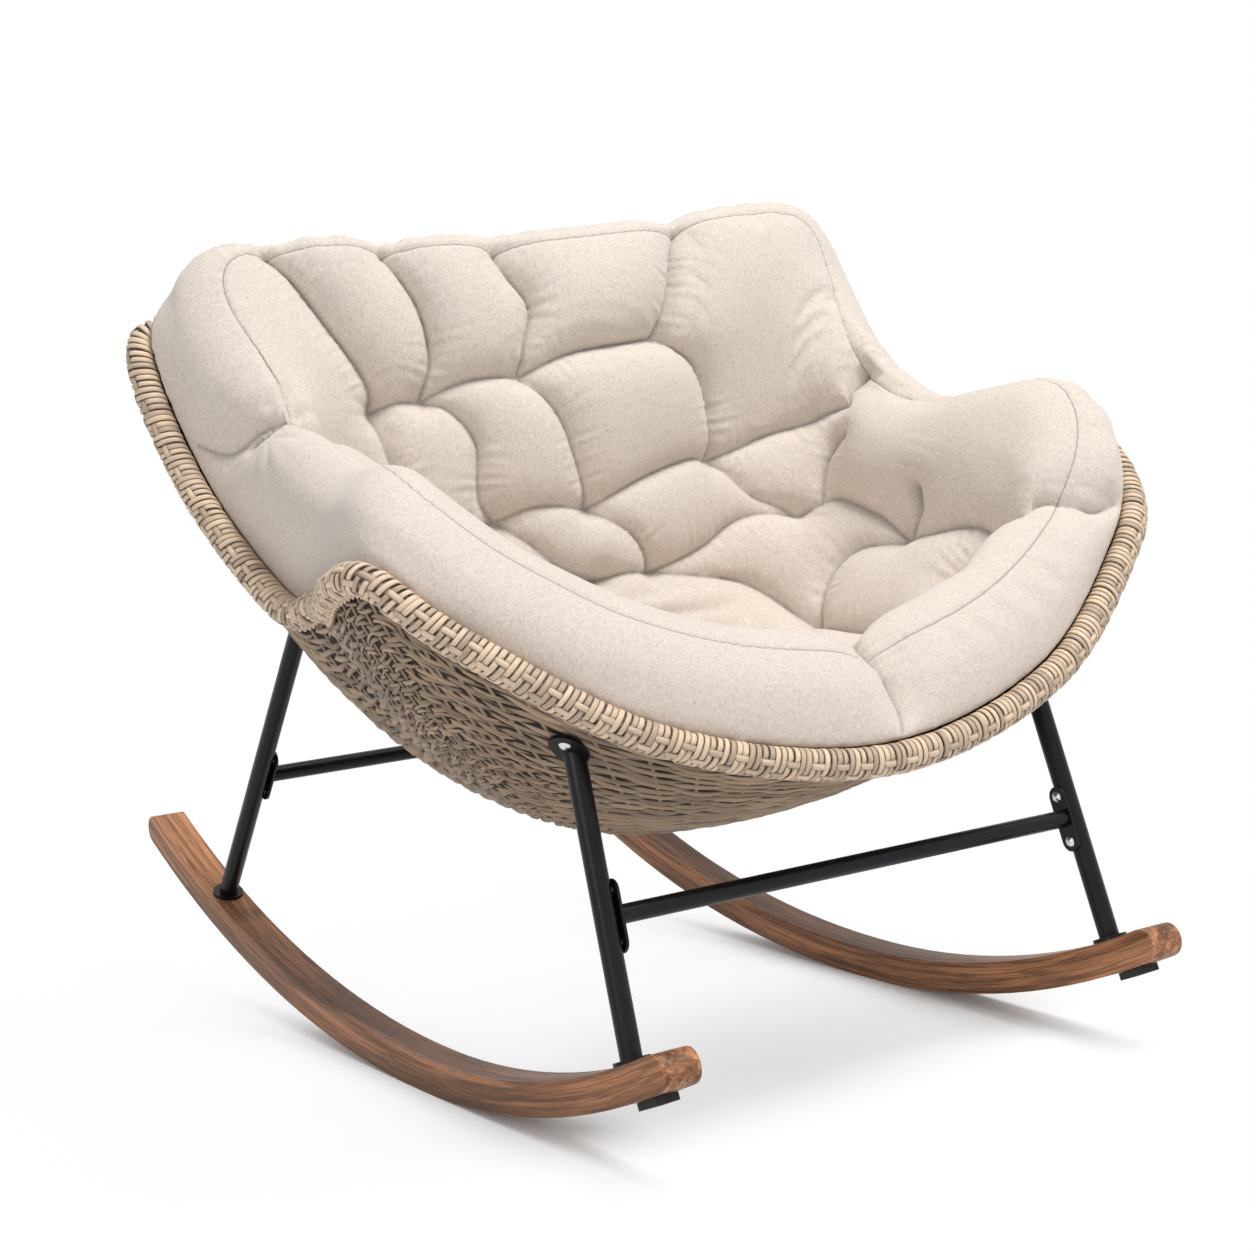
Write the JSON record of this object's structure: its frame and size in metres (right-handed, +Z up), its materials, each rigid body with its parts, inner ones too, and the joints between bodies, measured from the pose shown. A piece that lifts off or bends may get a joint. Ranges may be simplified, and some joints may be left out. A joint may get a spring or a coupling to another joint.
{
  "type": "egg-shaped rocking chair",
  "caption": "Woven egg-shaped garden rocking chair with a thick tufted cushion, black tube legs and curved wooden runners.",
  "frame": {"origin": "on the floor, at the bottom centre of the chair's bounding box", "axes": "+Z up, the sitter faces -Y, +X is the sitter's left-hand side"},
  "size_m": [1.0134, 1.2024, 0.9403],
  "materials": {
    "walnut": "satin",
    "black_tube": "satin",
    "black_rod": "satin",
    "bright_screw": "satin",
    "plated_steel": "satin",
    "pad_rubber": "matte",
    "weave": "matte",
    "rim_strand": "matte",
    "hoop": "satin",
    "cushion_cloth": "matte"
  },
  "bodies": {
    "chair": {"runner_left": "walnut", "runner_right": "walnut", "leg_front_left": "black_tube", "leg_front_right": "black_tube", "leg_rear_left": "black_tube", "leg_rear_right": "black_tube", "crossbar_front": "black_tube", "crossbar_rear": "black_tube", "plate_screws": "bright_screw", "nut_sleeves": "plated_steel", "runner_bolts": "plated_steel", "runner_washers": "plated_steel", "stop_pads": "pad_rubber", "pad_screws": "plated_steel", "wicker_shell": "weave", "rim_wrap": "rim_strand", "rim_hoop": "hoop", "frame_ribs": "black_rod", "mount_screws": "bright_screw", "mount_plates": "black_rod", "mount_nuts": "plated_steel"},
    "cushion": {"cushion": "cushion_cloth"}
  },
  "joints": [
    {"name": "cushion_lift", "type": "slide", "parent": "chair", "child": "cushion", "axis": [0, 0, 1], "range_m": [0, 0.45]}
  ]
}
